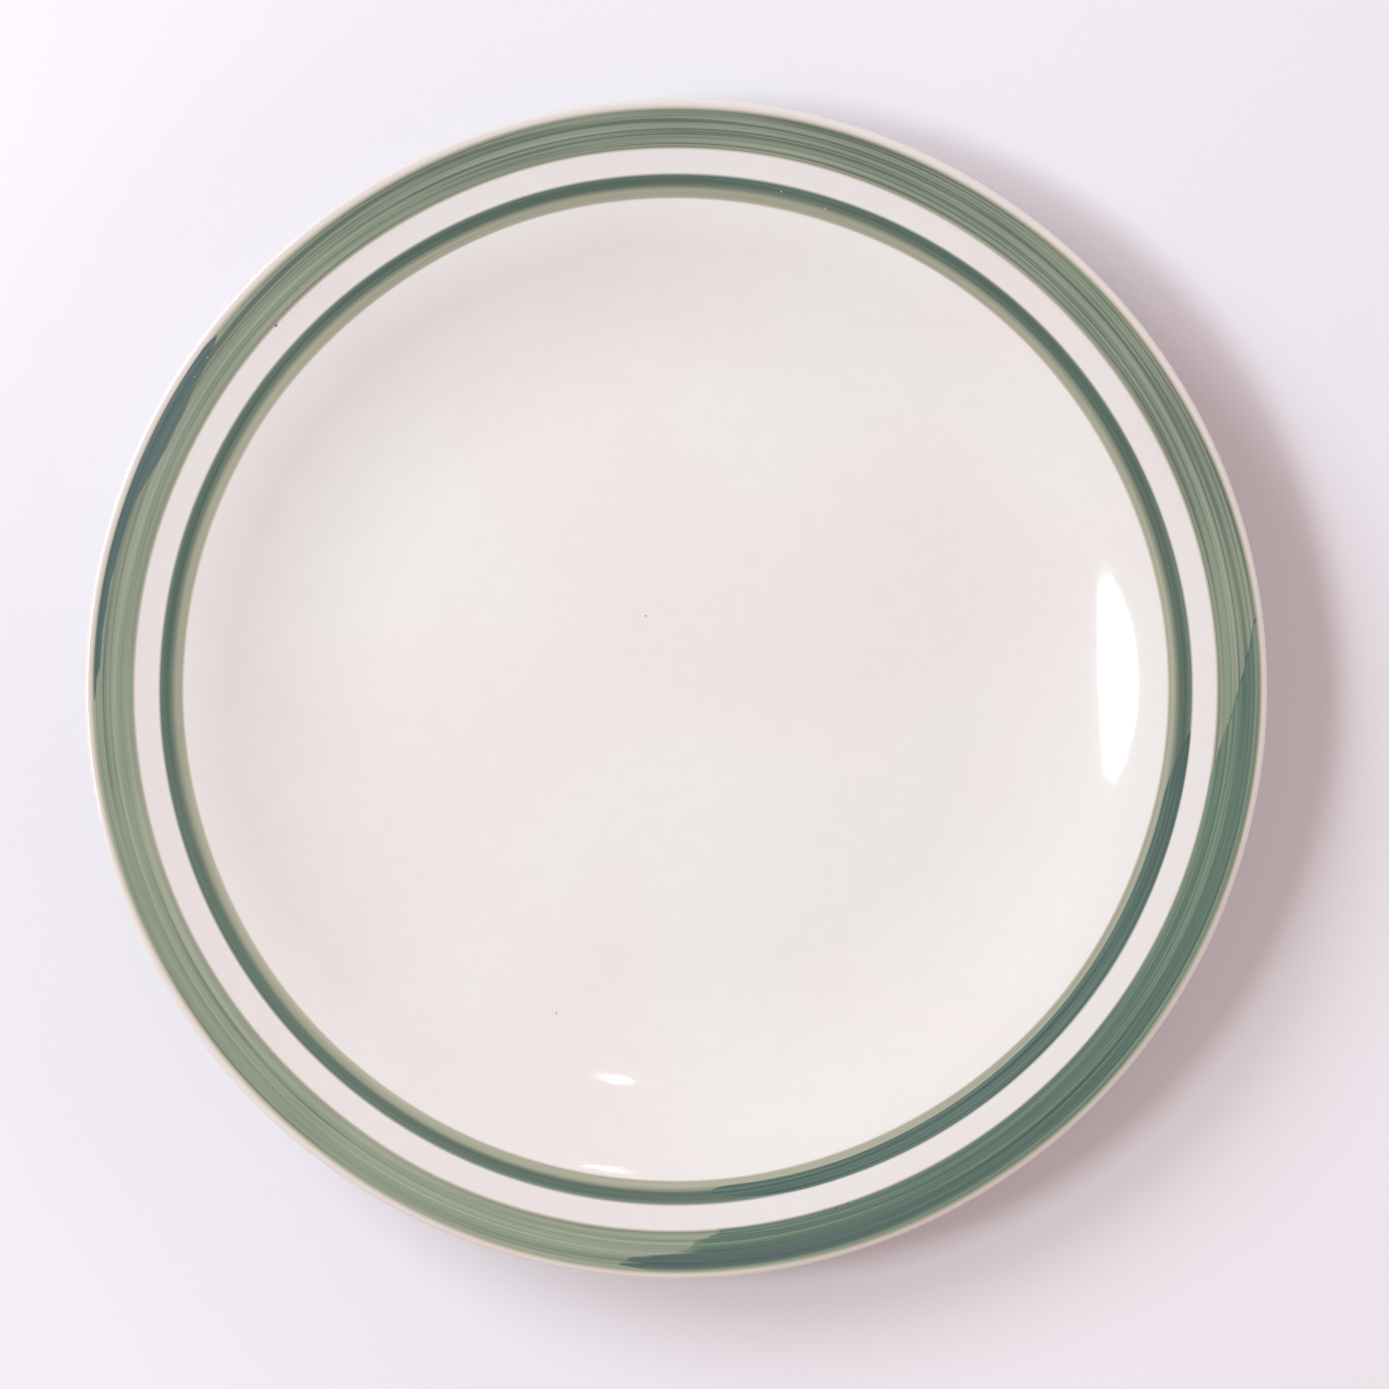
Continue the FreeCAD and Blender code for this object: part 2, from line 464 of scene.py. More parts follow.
# The white glaze
WHITE = srgb(224, 224, 217)
WHITE_COOL = srgb(225, 228, 220)
WHITE_WARM = srgb(224, 219, 213)
# The wide band's first stroke, and where it thins out at its two edges
COAT_LIGHT = srgb(152, 162, 140)
COAT_MIDDLE = srgb(130, 145, 124)
COAT_DARK = srgb(92, 108, 95)
FRINGE_IN = srgb(172, 166, 142)
FRINGE_OUT = srgb(196, 188, 164)
# The second strokes, where they are thin, full and fresh from the pot, and where they pooled
LAP_LIGHT = srgb(115, 139, 117)
LAP_MIDDLE = srgb(85, 111, 98)
LAP_DARK = srgb(57, 85, 76)
LAP_BLUE = srgb(74, 93, 92)
POOLED = srgb(56, 78, 70)
LINE_LAP_LIGHT = srgb(93, 119, 108)
LINE_LAP_DARK = srgb(63, 89, 83)
TOUCH_UP_LIGHT = srgb(93, 116, 111)
TOUCH_UP_DARK = srgb(68, 91, 93)
# The narrow line and its wash
LINE_COLOUR = srgb(107, 127, 110)
LINE_DEEP = srgb(75, 98, 87)
WASH = srgb(169, 172, 148)
WASH_DARK = srgb(147, 151, 131)
# The bare clay, and the iron specks in it and in the white glaze
CLAY_LIGHT = srgb(222, 210, 192)
CLAY_DARK = srgb(194, 178, 156)
IRON = srgb(96, 74, 56)
# The tabletop
TABLE = srgb(227, 226, 228)
TABLE_LIGHT = srgb(230, 229, 230)

# The white is a little darker outward from between the brushed bands, and darker again on the lip,
# where it is painted shade as the lip turns over
CLEAR = [1.0, 1.0, 1.0, 1.0]
RIM_DARKER = [0.965, 0.952, 0.96, 1.0]
LIP_PAINTED_SHADE = [0.97, 0.95, 0.935, 1.0]

# Small flaws in the glaze: radius, azimuth, size and colour
DARK_PIT, PALE_PIT = srgb(70, 64, 56), srgb(190, 172, 154)
FLAWS = (
    (123.5, 137.7, 0.42, DARK_PIT),
    (124.2, 285.9, 0.25, DARK_PIT),
    (124.3, 287.2, 0.32, DARK_PIT),
    (124.2, 288.5, 0.3, DARK_PIT),
    (18.3, 112.2, 0.25, DARK_PIT),
    (80.0, 249.8, 0.26, DARK_PIT),
    (116.5, 78.0, 0.3, PALE_PIT),
    (115.3, 72.7, 0.3, PALE_PIT),
    (131.0, 144.7, 0.22, PALE_PIT),
    (131.0, 147.0, 0.22, PALE_PIT),
)


def flawed(g, places, colour):
    """The colour with the glaze's small flaws on it."""
    flat = g.node("ShaderNodeVectorMath", operation="MULTIPLY")
    g.feed(flat.inputs[0], places["point"])
    flat.inputs[1].default_value = (1.0, 1.0, 0.0)
    for radius, azimuth, size, tint in FLAWS:
        turn = math.radians(azimuth)
        away = g.node("ShaderNodeVectorMath", operation="DISTANCE")
        g.feed(away.inputs[0], flat.outputs[0])
        away.inputs[1].default_value = (radius * math.cos(turn), radius * math.sin(turn), 0.0)
        share = g.ramp_between(away.outputs["Value"], size * 0.5, size, 0.8, 0.0)
        colour = g.mix(share, colour, tint)
    return colour


def drift_of_edge(g, places, stops):
    """How far an edge lies outside its true radius, through (degrees of travel, millimetres)."""
    scaled = [(travel / 360, 0.5 + offset / 2) for travel, offset in stops]
    level = g.steps(g.math("DIVIDE", places["travel"], 360.0), scaled)
    return g.math("MULTIPLY_ADD", level, 2.0, -1.0)


PINHOLE_PITCH = 17.0
PINHOLE_SIZE = 0.012  # the largest one's radius, as a share of the pitch


def white_group():
    """The white glaze: slow drifts of warm and cool, a darker rim with painted shade on the lip,
    and the rare pinhole.
    """
    g = Group("white_glaze_colour", {"colour": COLOUR})
    places = PLACES.use_in(g)
    drift = g.noise(places["point"], 0.012, 2.0)
    fine = g.noise(places["point"], 0.22, 3.0)
    tone = g.mix(g.ramp_between(drift, 0.35, 0.65), WHITE_WARM, WHITE_COOL)
    tone = g.mix(0.5, tone, WHITE)
    cloud = g.ramp_between(fine, 0.3, 0.7, 0.985, 1.0)
    tone = g.mix(1.0, tone, g.combine(cloud, cloud, cloud), "MULTIPLY")
    # Outward from the narrow line the white is made a little darker, and darker still on the lip:
    # painted shade where the lip turns over
    for from_r, to_r, tint in ((117.0, 119.5, RIM_DARKER), (132.5, 134.3, LIP_PAINTED_SHADE)):
        share = g.ramp_between(places["radius"], from_r, to_r)
        tone = g.mix(1.0, tone, g.mix(share, CLEAR, tint), "MULTIPLY")
    cells = g.node("ShaderNodeTexVoronoi", feature="F1")
    g.feed(cells.inputs["Vector"], places["point"])
    cells.inputs["Scale"].default_value = 1 / PINHOLE_PITCH
    chosen = g.node("ShaderNodeSeparateColor")
    g.feed(chosen.inputs[0], cells.outputs["Color"])
    rare = g.math("GREATER_THAN", chosen.outputs[0], 0.72)
    size = g.math("MULTIPLY", chosen.outputs[1], PINHOLE_SIZE)
    speck = g.math("MULTIPLY", rare, g.math("LESS_THAN", cells.outputs["Distance"], size))
    g.give(colour=g.mix(g.math("MULTIPLY", speck, 0.75), tone, IRON))
    return g


WHITE_GROUP = white_group()


# Layers of streaks: pitch across them, changes per radian, offset, and share of the whole
FIRST_STREAKS = ((2.1, 1.3, 7.7, 0.28), (0.62, 1.0, 1.3, 0.47), (0.24, 2.2, 5.9, 0.25))
SECOND_STREAKS = ((1.9, 1.4, 9.2, 0.3), (0.55, 1.2, 2.2, 0.45), (0.22, 2.6, 4.1, 0.25))

# How the brush's pressure varied across the wide band: share of the width, and lightness
FIRST_STRIPES = [
    (0.0, 0.4),
    (0.05, 0.36),
    (0.16, 0.66),
    (0.3, 0.5),
    (0.5, 0.56),
    (0.64, 0.32),
    (0.76, 0.22),
    (0.9, 0.52),
]
SECOND_STRIPES = [(0.0, 0.3), (0.2, 0.5), (0.5, 0.66), (0.67, 0.14), (0.82, 0.12), (0.95, 0.8)]

# Where the edges of the first strokes wander: degrees of travel, and millimetres outwards
BAND_IN_DRIFT = [
    (6, 0.0),
    (40, -0.15),
    (100, 0.0),
    (160, -0.38),
    (245, -0.35),
    (310, -0.08),
    (350, 0.0),
]
BAND_OUT_DRIFT = [
    (6, 0.5),
    (34, 0.95),
    (100, 0.85),
    (128, 0.3),
    (160, -0.3),
    (220, -0.3),
    (270, 0.08),
    (335, 0.25),
    (358, 0.45),
]
LINE_IN_DRIFT = [
    (6, -0.1),
    (36, -0.25),
    (66, -0.2),
    (100, 0.1),
    (130, 0.05),
    (186, -0.55),
    (216, -0.4),
    (250, -0.15),
    (350, -0.08),
]
LINE_OUT_DRIFT = [
    (6, 0.36),
    (36, 0.58),
    (100, 0.58),
    (128, 0.45),
    (160, 0.12),
    (190, -0.02),
    (250, 0.25),
    (335, 0.22),
    (358, 0.35),
]


def brush_streak(g, places, layers):
    """How lightly the bristles laid the colour on, streak by streak."""
    total = None
    for pitch, round_scale, offset, share in layers:
        layer = g.math("MULTIPLY", streaks(g, places, pitch, round_scale, offset, 1.0), share)
        total = layer if total is None else g.math("ADD", total, layer)
    return total


def brush_load(g, places):
    """The first strokes are lighter where they start and end than between, and patchy."""
    towards_end = g.ramp_between(places["travel"], 190.0, 255.0, -0.2, 0.04)
    from_start = g.ramp_between(places["travel"], 12.0, 55.0, 0.04, -0.2)
    patchy = streaks(g, places, 60.0, 3.2, 8.8, 1.0)
    patchy = g.ramp_between(patchy, 0.3, 0.7, -0.07, 0.07)
    return g.math("ADD", g.math("MAXIMUM", towards_end, from_start), patchy)


def share_across_band(g, radius):
    return g.math("DIVIDE", g.math("SUBTRACT", radius, BAND_IN), BAND_OUT - BAND_IN)


def first_band(g, places, radius, streak, load):
    """The wide band's first stroke: its colour, and how much it covers. It thins out to a
    fringe at both edges."""
    stripe = g.steps(share_across_band(g, radius), FIRST_STRIPES)
    tone = g.math("MULTIPLY_ADD", stripe, 0.5, g.math("MULTIPLY_ADD", streak, 2.8, -1.155))
    tone = g.math("ADD", tone, load)
    band = g.steps(tone, [(0.02, COAT_DARK), (0.45, COAT_MIDDLE), (0.9, COAT_LIGHT)])
    outwards = g.math("SUBTRACT", radius, drift_of_edge(g, places, BAND_OUT_DRIFT))
    inwards = g.math("SUBTRACT", radius, drift_of_edge(g, places, BAND_IN_DRIFT))
    fringe_in = g.ramp_between(inwards, BAND_IN - 0.1, BAND_IN + 0.9)
    fringe_out = g.ramp_between(outwards, BAND_OUT - 1.1, BAND_OUT + 0.1, 1.0, 0.0)
    band = g.mix(fringe_in, FRINGE_IN, band)
    band = g.mix(fringe_out, FRINGE_OUT, band)
    inner = g.ramp_between(inwards, BAND_IN - 0.35, BAND_IN + 0.45)
    outer = g.ramp_between(outwards, BAND_OUT - 0.6, BAND_OUT + 0.65, 1.0, 0.0)
    return band, g.math("MULTIPLY", inner, outer)


def first_line(g, places, radius, streak, load):
    """The narrow line with its wash inside it: the colour, and how much it covers. The wash is
    palest under the line's second stroke, and the line is deepest along its middle."""
    thin = g.math("MULTIPLY_ADD", load, 1.1, g.math("MULTIPLY_ADD", streak, 3.0, -0.95))
    paler = g.ramp_between(places["travel"], 5.0, 30.0, 0.0, 0.2)
    paler = g.math("MINIMUM", paler, g.ramp_between(places["travel"], 95.0, 140.0, 0.2, 0.0))
    wash = g.mix(g.limited(g.math("ADD", thin, paler)), WASH_DARK, WASH)
    from_middle = g.math("ABSOLUTE", g.math("SUBTRACT", radius, LINE_MIDDLE))
    thin = g.math("SUBTRACT", thin, 0.2)
    thin = g.math("ADD", thin, g.ramp_between(from_middle, 0.3, 1.6, 0.0, 0.35))
    deep = g.mix(g.limited(thin), LINE_DEEP, LINE_COLOUR)
    dark = g.ramp_between(radius, LINE_DARK - 0.6, LINE_DARK + 1.1)
    inwards = g.math("SUBTRACT", radius, drift_of_edge(g, places, LINE_IN_DRIFT))
    outwards = g.math("SUBTRACT", radius, drift_of_edge(g, places, LINE_OUT_DRIFT))
    inner = g.ramp_between(inwards, LINE_IN - 0.4, LINE_IN + 0.4)
    outer = g.ramp_between(outwards, LINE_OUT - 0.5, LINE_OUT + 0.35, 1.0, 0.0)
    return g.mix(dark, wash, deep), g.math("MULTIPLY", inner, outer)


def brushed_group():
    """The first strokes by position, over the white: their colour, and their streaks."""
    g = Group("first_strokes", {"colour": COLOUR, "streak": FLOAT})
    places = PLACES.use_in(g)
    sway = g.ramp_between(streaks(g, places, 40.0, 1.6, 3.1, 1.0), 0.2, 0.8, -0.18, 0.18)
    radius = g.math("ADD", places["radius"], sway)
    streak = brush_streak(g, places, FIRST_STREAKS)
    load = brush_load(g, places)
    colour = WHITE_GROUP.use_in(g)["colour"]
    for stroke in (first_line, first_band):
        paint, cover = stroke(g, places, radius, streak, load)
        colour = g.mix(cover, colour, paint)
    g.give(colour=colour, streak=streak)
    return g


BRUSHED_GROUP = brushed_group()


def second_group():
    """The colour where the brush passed twice, by position, over the same bands. It is bluest
    outside, where the stroke was fresh, and lighter towards its end."""
    g = Group("second_strokes", {"colour": COLOUR, "streak": FLOAT})
    places = PLACES.use_in(g)
    first = BRUSHED_GROUP.use_in(g)
    radius = places["radius"]
    streak = brush_streak(g, places, SECOND_STREAKS)
    across = share_across_band(g, radius)
    stripe = g.steps(across, SECOND_STRIPES)
    spent = g.ramp_between(places["travel"], 50.0, 95.0, 0.0, 0.2)
    tone = g.math("MULTIPLY_ADD", stripe, 0.55, g.math("MULTIPLY_ADD", streak, 2.6, -1.06))
    tone = g.math("ADD", tone, spent)
    band = g.steps(tone, [(0.02, LAP_DARK), (0.45, LAP_MIDDLE), (0.95, LAP_LIGHT)])
    fresh = g.ramp_between(places["travel"], 12.0, 66.0, 1.0, 0.0)
    outside = g.ramp_between(across, 0.5, 0.66)
    outside = g.math("MINIMUM", outside, g.ramp_between(across, 0.86, 0.97, 1.0, 0.3))
    blue = g.math("MULTIPLY", g.math("MULTIPLY", fresh, outside), 0.6)
    band = g.mix(blue, band, LAP_BLUE)
    thin_in = g.ramp_between(radius, BAND_IN - 0.3, BAND_IN + 0.6)
    thin_out = g.ramp_between(radius, BAND_OUT - 1.3, BAND_OUT + 0.25, 1.0, 0.0)
    cover = g.math("MULTIPLY", thin_in, thin_out)
    g.give(colour=g.mix(cover, first["colour"], band), streak=streak)
    return g


SECOND_GROUP = second_group()


# ---------------------------------------------------------------- materials


def new_material(name):
    made = bpy.data.materials.new(name)
    made.use_nodes = True
    graph = Graph(made.node_tree)
    shader = made.node_tree.nodes["Principled BSDF"]
    return made, graph, shader


def glossy(graph, shader, places, roughness, relief=None):
    """A fired glaze: smooth, with the faint orange peel that bends its reflections. `relief` is
    height of its own that the brush left."""
    shader.inputs["IOR"].default_value = 1.52
    peel = graph.noise(places["point"], 0.11, 2.0)
    mottle = graph.noise(places["point"], 0.5, 3.0)
    mottle = graph.ramp_between(mottle, 0.2, 0.8, roughness, roughness * 1.7)
    graph.feed(shader.inputs["Roughness"], mottle)
    bump = graph.node("ShaderNodeBump")
    bump.inputs["Strength"].default_value = 0.35
    bump.inputs["Distance"].default_value = 0.06 * MM
    if relief is not None:
        peel = graph.math("ADD", peel, graph.math("MULTIPLY", relief, 0.12))
    graph.feed(bump.inputs["Height"], peel)
    graph.feed(shader.inputs["Normal"], bump.outputs[0])


def white_glaze_material():
    made, g, shader = new_material("white_glaze")
    places = PLACES.use_in(g)
    g.feed(shader.inputs["Base Color"], flawed(g, places, WHITE_GROUP.use_in(g)["colour"]))
    glossy(g, shader, places, 0.05)
    return made


def first_stroke_material():
    made, g, shader = new_material("brushed_colour")
    places = PLACES.use_in(g)
    strokes = BRUSHED_GROUP.use_in(g)
    g.feed(shader.inputs["Base Color"], flawed(g, places, strokes["colour"]))
    glossy(g, shader, places, 0.06, strokes["streak"])
    return made


def second_stroke_material(name, deep=None):
    """Grows out of the first stroke's colour, bristle by bristle, where the film is thin, and is
    darkest where the colour pooled. `deep` is a light and a dark colour that take the place
    of the position's own, for a stroke loaded with more of it."""
    made, g, shader = new_material(name)
    places = PLACES.use_in(g)
    first = BRUSHED_GROUP.use_in(g)
    second = SECOND_GROUP.use_in(g)
    strength = g.node("ShaderNodeAttribute", attribute_name="strength").outputs["Fac"]
    pool = g.node("ShaderNodeAttribute", attribute_name="pool").outputs["Fac"]
    colour = second["colour"]
    if deep is not None:
        light, dark = deep
        colour = g.mix(g.ramp_between(second["streak"], 0.38, 0.6), dark, light)
    colour = g.mix(g.math("MULTIPLY", pool, 0.85), colour, POOLED)
    bristles = g.ramp_between(second["streak"], 0.4, 0.6, 0.3, 1.7)
    share = g.math("MULTIPLY", strength, bristles, clamp=True)
    colour = g.mix(share, first["colour"], colour)
    g.feed(shader.inputs["Base Color"], flawed(g, places, colour))
    glossy(g, shader, places, 0.07, second["streak"])
    return made


def clay_material():
    made, g, shader = new_material("bare_clay")
    places = PLACES.use_in(g)
    grain = g.noise(places["point"], 2.2, 4.0, 0.6)
    patch = g.noise(places["point"], 0.18, 2.0)
    tool = streaks(g, places, 0.35, 6.0, 4.4, 2.0)
    colour = g.mix(g.ramp_between(grain, 0.3, 0.7), CLAY_DARK, CLAY_LIGHT)
    colour = g.mix(g.ramp_between(patch, 0.45, 0.7, 0.0, 0.35), colour, CLAY_LIGHT)
    iron = g.ramp_between(g.noise(places["point"], 1.4, 1.0), 0.72, 0.78, 0.0, 0.7)
    g.feed(shader.inputs["Base Color"], g.mix(iron, colour, IRON))
    g.feed(shader.inputs["Roughness"], g.ramp_between(grain, 0.2, 0.8, 0.72, 0.95))
    bump = g.node("ShaderNodeBump")
    bump.inputs["Strength"].default_value = 0.6
    bump.inputs["Distance"].default_value = 0.08 * MM
    g.feed(bump.inputs["Height"], g.math("ADD", grain, tool))
    g.feed(shader.inputs["Normal"], bump.outputs[0])
    return made


def floor_material():
    made, g, shader = new_material("pale_tabletop")
    position = g.node("ShaderNodeTexCoord").outputs["Object"]
    drift = g.noise(position, 3.0, 2.0)
    fibre = g.noise(position, 900.0, 2.0)
    colour = g.mix(g.ramp_between(drift, 0.35, 0.65), TABLE, TABLE_LIGHT)
    tone = g.ramp_between(fibre, 0.2, 0.8, 0.992, 1.0)
    colour = g.mix(1.0, colour, g.combine(tone, tone, tone), "MULTIPLY")
    g.feed(shader.inputs["Base Color"], colour)
    shader.inputs["Roughness"].default_value = 0.7
    shader.inputs["Specular IOR Level"].default_value = 0.0
    return made


# ---------------------------------------------------------------- pieces


def finish_piece(ob, material, node):
    ob.data.materials.append(material)
    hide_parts(node)
    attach(ob, "root")
    return ob


BAND_SEAT = (BAND_IN - FRINGE, BAND_OUT + LIP_FRINGE)
LINE_SEAT = (LINE_IN - FRINGE, LINE_OUT + FRINGE)
SEGMENTS = 360
GLAZE_SEGMENTS = 280  # the glaze has the longest outline, and stays under 200,000 triangles
BRUSHED_SEGMENTS = 720
COARSE = 4  # one in this many of the section's points is enough where it is hidden


def grooved_face():
    """The face's outline with a seat, one coat deep, for each brushed ring."""
    face = SECTION.between("middle", "lip_under")
    tip = np.argmax(face[:, 0])
    flat, lip = face[:tip], face[tip:]
    loop = []
    edges = [0.0, *LINE_SEAT, *BAND_SEAT, flat[-1, 0]]
    for number, (low, high) in enumerate(zip(edges, edges[1:])):
        inside = flat[(flat[:, 0] > low + 0.05) & (flat[:, 0] < high - 0.05), 0]
        radii = np.concatenate([[low], inside, [high]])
        loop.append(sunk(face_points(radii), COAT if number % 2 else 0.0))
    return np.vstack([*loop, sunk(lip, 0.0)])


def glaze_stop(points):
    """Which of a foot wall's points is nearest to the height where the glaze stops."""
    return int(np.argmin(np.abs(points[:, 1] - GLAZE_STOP_Z)))


EDGE_ROUND = 0.12  # how far down the glaze's rounded edge reaches past the surface's last point


def glaze_edge(point, depths):
    """The rounded edge of the glaze where it was wiped off, next to a point of the surface."""
    return [sunk(point, depth)[0] - [0, EDGE_ROUND] for depth in depths]


def make_glaze(material):
    """Face, lip and underside down to the wiped foot, as one closed skin."""
    underside = SECTION.between("lip_under", "foot_outside")[1:]
    foot = SECTION.between("foot_outside", "foot_inside")
    outside = foot[: glaze_stop(foot[: len(foot) // 2]) + 1]
    outer = np.vstack([grooved_face(), sunk(np.vstack([underside, outside]), 0.0)])
    edge = glaze_edge(outside[-1:], (0.08, 0.2, 0.32))
    whole = SECTION.between("middle", "foot_outside")
    inner = sunk(np.vstack([whole[::COARSE], outside[-3:]]), GLAZE)[::-1]
    inner[-1, 0] = 0.0
    loop = np.vstack([outer, edge, inner])
    skin = turned_solid("glaze_face_and_underside", loop, GLAZE_SEGMENTS)
    return finish_piece(skin, material, "glaze_coat")


def make_base_glaze(material):
    """The skin inside the foot ring."""
    foot = SECTION.between("foot_outside", "foot_inside")
    half = len(foot) // 2
    inside = foot[half + glaze_stop(foot[half:]) :]
    base = SECTION.between("foot_inside", "base_middle")[1:]
    surface = np.vstack([inside, base])
    edge = glaze_edge(inside[:1], (0.32, 0.2, 0.08))
    inner = sunk(surface, GLAZE)[::-1]
    inner[0, 0] = 0.0
    loop = np.vstack([inner, edge, sunk(surface, 0.0)])
    skin = turned_solid("glaze_inside_foot", loop, SEGMENTS)
    return finish_piece(skin, material, "base_glaze")


def make_clay(material):
    """The body under the glaze, with its bare foot ring."""
    whole = SECTION.between("middle", "base_middle")
    first, last = SECTION.marks["foot_outside"], SECTION.marks["foot_inside"]
    coarse = np.vstack([whole[:first:COARSE], whole[first:last], whole[last::2]])
    loop = sunk(coarse, GLAZE)
    loop[0, 0] = 0.0
    loop[-1, 0] = 0.0
    body = turned_solid("clay_body_and_foot", loop, SEGMENTS)
    return finish_piece(body, material, "clay_body")


def make_first_strokes(material):
    seats = {
        "rim_band": (BAND_SEAT[0], BAND_SEAT[1], "grey_green_brushwork"),
        "inner_line": (LINE_DARK, LINE_SEAT[1], "grey_green_brushwork"),
        "inner_line_wash": (LINE_SEAT[0], LINE_DARK, "thin_wash"),
    }
    for node, (inner, outer, slot) in seats.items():
        ring = ring_solid(f"{node}_stroke", inner, outer, 0.3, BRUSHED_SEGMENTS, 0.0, COAT)
        finish_piece(ring, material, node)


ROW_SPACING = 0.13  # between the rows of a film's grid
NEAR_END = np.array([0.0, 0.12, 0.25, 0.45, 0.8, 1.4, 2.4, 4.0, 6.0])  # columns near its ends
MIDDLE_COLUMNS = 88


def ragged_end(rng, rows, edge, bristle):
    """Azimuths of a stroke's end: `edge`, a function of the share of its width, made ragged by
    `bristle` degrees."""
    ragged = rough_edge(rng, rows, 9, bristle) + rough_edge(rng, rows, 3, bristle * 0.6)
    return edge(np.linspace(0, 1, rows)) + ragged


def lap_grid(rng, inner, outer, start, end, bristle, soft):
    """A stroke between two radii whose ends are `start` and `end`, functions of the share of
    its width from 0 at the inner edge to 1. `bristle` is how ragged its start is, in degrees,
    and `soft` how many millimetres it takes to set in. Gives film_solid's arrays."""
    rows = round((outer - inner) / ROW_SPACING) + 1
    share = np.linspace(0, 1, rows)
    first_end = ragged_end(rng, rows, start, bristle)
    last_end = ragged_end(rng, rows, end, bristle * 0.5)
    radii = inner + share * (outer - inner)
    millimetre = 180 / math.pi / radii
    first = first_end[:, None] + NEAR_END[None, :] * millimetre[:, None]
    last = last_end[:, None] - NEAR_END[None, ::-1] * millimetre[:, None]
    middle_share = np.linspace(0, 1, MIDDLE_COLUMNS + 2)[None, 1:-1]
    middle = first[:, -1:] * (1 - middle_share) + last[:, :1] * middle_share
    azimuths = np.hstack([first, middle, last])
    since_start = (azimuths - first_end[:, None]) / millimetre[:, None]
    to_end = (last_end[:, None] - azimuths) / millimetre[:, None]
    radii = np.repeat(radii[:, None], azimuths.shape[1], 1)
    sides = smooth_step(0.0, 0.3, np.minimum(radii - inner, outer - radii))
    strength = np.clip(np.minimum(since_start / soft, to_end / 0.4), 0, 4) * sides
    pool = smooth_step(1.6, 0.2, to_end) * smooth_step(0.2, 0.4, share)[:, None]
    return radii, azimuths, strength, pool


def through(stops):
    """A function that goes straight from one (place, value) stop to the next."""
    places, values = zip(*stops)
    return lambda place: np.interp(place, places, values)


# Where the wide band's second stroke starts and ends, and the narrow line's: share of its width
# from the inner edge, and azimuth
BAND_LAP_START = [
    (0, 274.4),
    (0.2, 273.1),
    (0.4, 271.2),
    (0.56, 269.6),
    (0.62, 266.6),
    (0.7, 264.6),
    (0.88, 264.3),
    (1, 267),
]
BAND_LAP_END = [
    (0, 350.5),
    (0.18, 355),
    (0.4, 358.6),
    (0.6, 361.6),
    (0.8, 364.8),
    (0.93, 366.8),
    (1, 367),
]
LINE_LAP_START = [(0, 276.5), (0.15, 274.6), (0.35, 273.7), (0.6, 275.0), (0.8, 278.0), (1, 284.0)]
LINE_LAP_END = [(0, 347.5), (0.2, 350), (0.5, 352.6), (0.8, 354.8), (1, 355.8)]


def make_second_strokes():
    rng = np.random.default_rng(12)

    material = second_stroke_material("second_coat")
    ends = through(BAND_LAP_START), through(BAND_LAP_END)
    grid = lap_grid(rng, BAND_IN - 0.3, BAND_OUT + 0.1, *ends, bristle=0.7, soft=2.0)
    film = film_solid("rim_band_second_coat", *grid, rise=0.014, sink=0.02)
    finish_piece(film, material, "rim_band_lap")

    material = second_stroke_material("second_line_coat", (LINE_LAP_LIGHT, LINE_LAP_DARK))
    ends = through(LINE_LAP_START), through(LINE_LAP_END)
    grid = lap_grid(rng, LINE_IN + 1.0, LINE_OUT + 0.4, *ends, bristle=0.25, soft=0.5)
    radii, azimuths, strength, pool = grid
    strength = strength * smooth_step(LINE_IN + 1.1, LINE_DARK + 0.8, radii)
    grid = radii, azimuths, strength, pool
    film = film_solid("inner_line_second_coat", *grid, rise=0.012, sink=0.02)
    finish_piece(film, material, "inner_line_lap")

    material = second_stroke_material("touch_up_coat", (TOUCH_UP_LIGHT, TOUCH_UP_DARK))
    film = film_solid("rim_band_touch_up", *touch_up_grid(rng), rise=0.016, sink=0.02)
    finish_piece(film, material, "rim_touch_up")


# The touch-up: its ends, and its two edges as (azimuth, radius)
TOUCH_UP_START, TOUCH_UP_END = 141.9, 181.4
TOUCH_UP_INNER = [
    (141.9, 132.4),
    (143.0, 131.2),
    (146.5, 129.7),
    (150.5, 128.4),
    (155.0, 128.3),
    (160.5, 130.2),
    (168.0, 130.9),
    (177.5, 131.4),
    (179.0, 132.2),
    (181.4, 132.6),
]
TOUCH_UP_OUTER = [(141.9, 132.7), (144.0, 133.2), (178.0, 132.9), (181.4, 132.8)]
TOUCH_UP_SOFT = [(155.0, 1.0), (172.0, 0.35), (181.4, 0.12)]  # width over which its sides fade


def touch_up_grid(rng):
    """A leaf along the band's outer edge, blunt at its start and drawn out to a hair. Gives
    film_solid's arrays."""
    columns, rows = 260, 26
    azimuth = np.linspace(TOUCH_UP_START, TOUCH_UP_END, columns)
    ragged = rough_edge(rng, columns, 14, 0.16) + rough_edge(rng, columns, 4, 0.06)
    outer = through(TOUCH_UP_OUTER)(azimuth)
    inner = np.minimum(through(TOUCH_UP_INNER)(azimuth) + ragged, outer - 0.15)
    share = np.linspace(0, 1, rows)[:, None]
    radii = inner[None, :] * (1 - share) + outer[None, :] * share
    azimuths = np.repeat(azimuth[None, :], rows, 0)
    soft = through(TOUCH_UP_SOFT)(azimuth)[None, :]
    sides = np.minimum((radii - inner[None, :]) / soft, (outer[None, :] - radii) / (soft * 0.4))
    since_start, to_end = azimuths - TOUCH_UP_START, TOUCH_UP_END - azimuths
    ends = np.minimum(since_start / 0.5, to_end / 0.3)
    strength = np.clip(np.minimum(sides * 1.4, ends), 0, 4)
    pool = smooth_step(1.4, 0.1, since_start - 0.5) * 0.6
    return radii, azimuths, strength, pool


# ---------------------------------------------------------------- room, lights, camera


